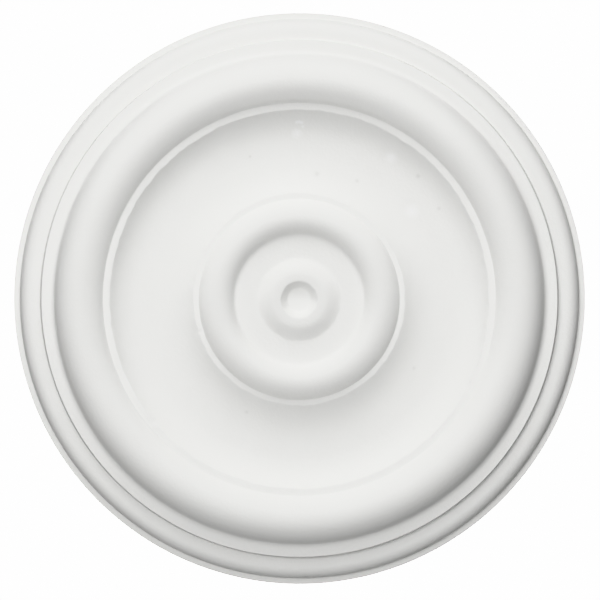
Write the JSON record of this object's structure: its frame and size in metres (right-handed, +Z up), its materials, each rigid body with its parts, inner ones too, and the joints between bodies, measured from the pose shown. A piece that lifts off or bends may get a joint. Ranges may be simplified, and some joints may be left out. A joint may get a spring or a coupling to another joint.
{
  "type": "ceiling rose",
  "caption": "Plain round plaster ceiling rose with concentric mouldings, a shallow dish and a small dimpled boss, fixed flat to a ceiling.",
  "frame": {"origin": "centre of the flat back, where it lies against the ceiling", "axes": "+Z up into the ceiling along the rose's axis, so the mouldings face down along -Z; X and Y are across the round face, with -Y at the top of the picture"},
  "size_m": [0.46, 0.46, 0.0374],
  "materials": {
    "plaster": "matte"
  },
  "bodies": {
    "root": {"ceiling_rose": "plaster"}
  },
  "joints": []
}
